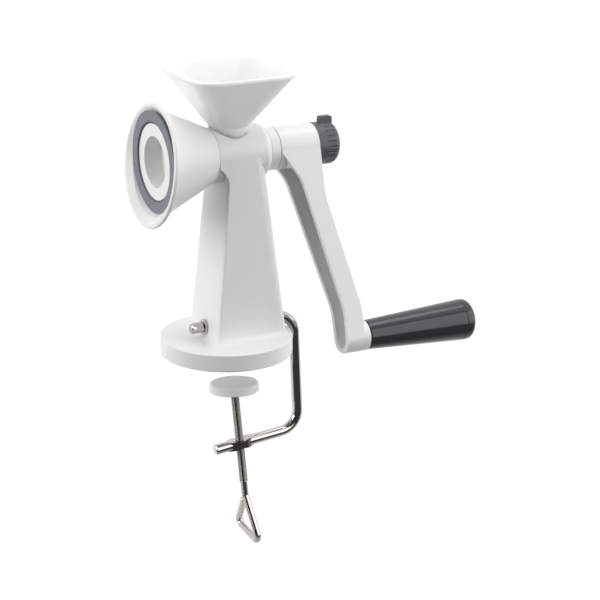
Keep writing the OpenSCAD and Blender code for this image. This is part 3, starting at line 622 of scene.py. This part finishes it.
class MILL_OT_dark_mouldings(bpy.types.Operator):
    """Gives the knob, the grip and its cap their finishes."""

    bl_idname = "mill.dark_mouldings"
    bl_label = "Dark mouldings"

    def execute(self, context):
        sizes, colours = context.scene.mill_sizes, context.scene.mill_colours
        # Polypropylene from a spark eroded tool: a fine even grain that spreads highlights
        matt = moulded_plastic("polypropylene_grained_dark", colours.knob_dark, gloss=0.42, spread=0.05,
                               peel_mm=0.9, peel_depth_mm=0.02, cloud_mm=8.0, cloud=0.05)
        # Polypropylene from a polished tool: a clear, slightly wavy mirror over a dark body
        gloss = moulded_plastic("polypropylene_polished_dark", colours.grip_dark, gloss=0.14, spread=0.03,
                                peel_mm=6.0, peel_depth_mm=0.02, cloud_mm=18.0, cloud=0.05)
        dress(matt, "adjusting_knob")
        dress(gloss, "grip", "grip_cap")
        for name in ("adjusting_knob", "grip", "grip_cap"):
            soften(frame["nodes"][name], sizes.fine_edge)
        return {"FINISHED"}


class MILL_OT_metal_pieces(bpy.types.Operator):
    """Gives the bow, its ring, the shaft, pins, washers and nut their finishes."""

    bl_idname = "mill.metal_pieces"
    bl_label = "Metal pieces"

    def execute(self, context):
        sizes, colours = context.scene.mill_sizes, context.scene.mill_colours
        # Drawn steel rod, bright nickel plated: a clean mirror with faint drawing lines
        nickel = worked_metal("steel_nickel_plated", colours.nickel, gloss=0.06, spread=0.02,
                              line_mm=1.2, relief_mm=0.0001, axis=2)
        # Steel turned in a lathe: fine rings that stretch highlights
        steel = worked_metal("steel_turned", colours.steel, gloss=0.28, spread=0.06,
                             line_mm=0.5, relief_mm=0.01, axis=0)
        # Brass turned from bar: the same rings, warm in colour
        brass = worked_metal("brass_turned", colours.brass, gloss=0.25, spread=0.06,
                             line_mm=0.5, relief_mm=0.01, axis=0)
        dress(nickel, "clamp_bow", "bow_ring")
        dress(steel, "drive_shaft", "rotor_pin", "thrust_washer", "grip_axle", "axle_washer")
        dress(brass, "knob_nut")
        soften(frame["nodes"]["clamp_bow"], sizes.eye_edge)
        return {"FINISHED"}


class MILL_OT_clamp_screw(bpy.types.Operator):
    """Builds the threaded spindle with its loop, and finishes the pad."""

    bl_idname = "mill.clamp_screw"
    bl_label = "Clamp screw and pad"

    def execute(self, context):
        sizes, colours = context.scene.mill_sizes, context.scene.mill_colours
        nickel = bpy.data.materials["steel_nickel_plated"]
        # Thread roll-formed in the rod before plating, coloured darker than the nickel over its whole
        # length: painted shade standing in for the dark surroundings that the thread reflects
        dark_painted_thread = worked_metal("steel_thread_painted_dark", colours.thread, gloss=0.2, spread=0.05,
                              line_mm=0.8, relief_mm=0.002, axis=2)
        screw, loop = threaded_rod(sizes), bent_loop(sizes)
        for piece, finish in ((screw, dark_painted_thread), (loop, nickel)):
            piece.data.materials.append(finish)
            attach(piece, "spindle")
        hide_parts("clamp_spindle")
        # Polyethylene, moulded: soft and waxy, with hardly a highlight
        pad = moulded_plastic("polyethylene_moulded_pale", colours.pad_grey, gloss=0.45, spread=0.05,
                              peel_mm=1.8, peel_depth_mm=0.015)
        dress(pad, "clamp_pad")
        return {"FINISHED"}


class MILL_OT_studio(bpy.types.Operator):
    """Sets up the pale floor, the black cards, the soft light and the camera."""

    bl_idname = "mill.studio"
    bl_label = "Studio"

    def execute(self, context):
        scene, stage = context.scene, context.scene.mill_stage
        scene.view_settings.view_transform = "Standard"
        low = CAD_BOX[0][2] - stage.floor_drop
        self.floor(scene, low)
        self.world(scene)
        lying = Matrix.Translation((0.0, 0.0, low + 1 * MM))
        self.card(scene, "card_low", lying, *FLOOR_FADE, FLOOR_WAY)
        front = Vector(DARK_WAY).normalized()
        turn = front.to_track_quat("Z", "Y").to_matrix().to_4x4()
        upright = Matrix.Translation(stage.card_distance * front) @ turn
        self.card(scene, "card_back", upright, stage.half_width, stage.card_core)
        self.softbox(scene, "overhead", (0.3, -0.15, 1.3), (0.05, 0.0, 0.05), 1.2, 0.6, 5.0)
        self.softbox(scene, "left", (-1.2, -0.05, 0.45), (0.0, 0.0, 0.05), 0.9, 1.0, 9.0)
        self.softbox(scene, "key", (0.8, -1.15, 0.5), (0.05, 0.0, 0.12), 2.0, 1.5, 18.0)
        self.camera(scene, stage)
        return {"FINISHED"}

    def camera(self, scene, stage):
        """Camera on a sphere round its target, with a small roll."""
        az, el = stage.azimuth, stage.elevation
        back = Vector((math.sin(az) * math.cos(el), -math.cos(az) * math.cos(el), math.sin(el)))
        lens = bpy.data.cameras.new("camera")
        lens.lens = stage.lens
        lens.sensor_width = 36.0
        lens.clip_end = 20.0
        camera = bpy.data.objects.new("camera", lens)
        turn = (-back).to_track_quat("-Z", "Y").to_matrix().to_4x4()
        camera.matrix_world = (Matrix.Translation(Vector(stage.target) + stage.distance * back) @ turn
                               @ Matrix.Rotation(stage.roll, 4, "Z"))
        scene.collection.objects.link(camera)
        scene.camera = camera

    def sheet(self, scene, name, place):
        """Large flat square, linked into the scene."""
        half = scene.mill_stage.half_width
        mesh = bpy.data.meshes.new(name)
        corners = [(-half, -half, 0), (half, -half, 0), (half, half, 0), (-half, half, 0)]
        mesh.from_pydata(corners, [], [[0, 1, 2, 3]])
        obj = bpy.data.objects.new(name, mesh)
        obj.matrix_world = place
        scene.collection.objects.link(obj)
        return obj

    def floor(self, scene, low):
        """Large flat floor, white to the camera and to mirrors, that still takes the mill's shadow."""
        floor = self.sheet(scene, "floor", Matrix.Translation((0.0, 0.0, low)))
        material, tree, output, place = blank("floor_painted_pale")
        ahead = put(tree, "ShaderNodeVectorMath", {0: place, 1: FLOOR_WAY}, operation="DOT_PRODUCT")
        depth = put(tree, "ShaderNodeMapRange",
                    {"Value": ahead.outputs["Value"], "From Min": FLOOR_FADE[0],
                     "From Max": FLOOR_FADE[1], "To Min": 0.85, "To Max": 0.03})
        matt = put(tree, "ShaderNodeBsdfDiffuse", {"Color": depth.outputs["Result"]})
        pale = put(tree, "ShaderNodeBsdfDiffuse", {"Color": linear(scene.mill_colours.floor)})
        white = put(tree, "ShaderNodeEmission", {"Color": (1, 1, 1, 1), "Strength": 1.06})
        seen = put(tree, "ShaderNodeMixShader",
                   {0: 0.9, 1: pale.outputs["BSDF"], 2: white.outputs["Emission"]})
        mix = put(tree, "ShaderNodeMixShader",
                  {0: in_sight(tree), 1: matt.outputs["BSDF"], 2: seen.outputs["Shader"]})
        tree.links.new(mix.outputs["Shader"], output.inputs["Surface"])
        floor.data.materials.append(material)

    def card(self, scene, name, place, clear, full, way=None):
        """Black card with a soft edge, seen only in mirrors: it draws the dark lines along bright metal.
        Clear and full are places along a direction, or distances from its middle where none is given."""
        card = self.sheet(scene, name, place)
        card.visible_camera = card.visible_diffuse = card.visible_shadow = False
        material, tree, output, spot = blank(name + "_matt_black")
        if way:
            far = put(tree, "ShaderNodeVectorMath", {0: spot, 1: way}, operation="DOT_PRODUCT")
        else:
            far = put(tree, "ShaderNodeVectorMath", {0: spot}, operation="LENGTH")
        cover = put(tree, "ShaderNodeMapRange",
                    {"Value": far.outputs["Value"], "From Min": clear, "From Max": full,
                     "To Min": 0.0, "To Max": 0.97})
        black = put(tree, "ShaderNodeBsdfDiffuse", {"Color": (0.02, 0.02, 0.02, 1)})
        gap = put(tree, "ShaderNodeBsdfTransparent")
        mix = put(tree, "ShaderNodeMixShader",
                  {0: cover.outputs["Result"], 1: gap.outputs["BSDF"], 2: black.outputs["BSDF"]})
        tree.links.new(mix.outputs["Shader"], output.inputs["Surface"])
        card.data.materials.append(material)

    def world(self, scene):
        """Even pale light, with the side behind the camera left darker as in a studio."""
        world = bpy.data.worlds.new("studio")
        world.use_nodes = True
        tree = world.node_tree
        tree.nodes.clear()
        way = put(tree, "ShaderNodeTexCoord").outputs["Generated"]
        front = put(tree, "ShaderNodeVectorMath", {0: way, 1: DARK_WAY}, operation="DOT_PRODUCT")
        level = put(tree, "ShaderNodeMapRange",
                    {"Value": front.outputs["Value"], "From Min": 0.1, "From Max": 0.6,
                     "To Min": 0.95, "To Max": 0.03}, interpolation_type="SMOOTHSTEP")
        light = put(tree, "ShaderNodeBackground",
                    {"Color": (1, 1, 1, 1), "Strength": level.outputs["Result"]})
        white = put(tree, "ShaderNodeBackground", {"Color": (1, 1, 1, 1), "Strength": 1.0})
        pick = put(tree, "ShaderNodeMixShader",
                   {0: in_sight(tree), 1: light.outputs["Background"], 2: white.outputs["Background"]})
        put(tree, "ShaderNodeOutputWorld", {"Surface": pick.outputs["Shader"]})
        scene.world = world

    def softbox(self, scene, name, place, aim, width, height, power):
        """Rectangular soft light that faces a point."""
        lamp = bpy.data.lights.new(name, "AREA")
        lamp.shape = "RECTANGLE"
        lamp.size, lamp.size_y, lamp.energy = width, height, power
        obj = bpy.data.objects.new(name, lamp)
        way = Vector(aim) - Vector(place)
        obj.matrix_world = Matrix.Translation(place) @ way.to_track_quat("-Z", "Y").to_matrix().to_4x4()
        scene.collection.objects.link(obj)


class MILL_PT_sidebar(bpy.types.Panel):
    """Lists the mill's steps and values."""

    bl_idname = "MILL_PT_sidebar"
    bl_label = "Poppy seed mill"
    bl_space_type = "VIEW_3D"
    bl_region_type = "UI"
    bl_category = "Mill"

    def draw(self, context):
        for step in STEPS:
            self.layout.operator(step.bl_idname)
        for group in (context.scene.mill_sizes, context.scene.mill_colours, context.scene.mill_stage):
            box = self.layout.box()
            for name in group.__annotations__:
                box.prop(group, name)


STEPS = (
    MILL_OT_white_mouldings,
    MILL_OT_foot_fillet,
    MILL_OT_grinding_ring,
    MILL_OT_dark_mouldings,
    MILL_OT_metal_pieces,
    MILL_OT_clamp_screw,
    MILL_OT_studio,
)
GROUPS = {"mill_sizes": MillSizes, "mill_colours": MillColours, "mill_stage": MillStage}


def register():
    for group in GROUPS.values():
        bpy.utils.register_class(group)
    for name, group in GROUPS.items():
        setattr(bpy.types.Scene, name, bpy.props.PointerProperty(type=group))
    for step in STEPS:
        bpy.utils.register_class(step)
    bpy.utils.register_class(MILL_PT_sidebar)


def unregister():
    bpy.utils.unregister_class(MILL_PT_sidebar)
    for step in reversed(STEPS):
        bpy.utils.unregister_class(step)
    for name, group in GROUPS.items():
        delattr(bpy.types.Scene, name)
        bpy.utils.unregister_class(group)


def main():
    """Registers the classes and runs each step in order."""
    register()
    for step in STEPS:
        area, word = step.bl_idname.split(".")
        getattr(getattr(bpy.ops, area), word)()


if __name__ == "__main__":
    main()
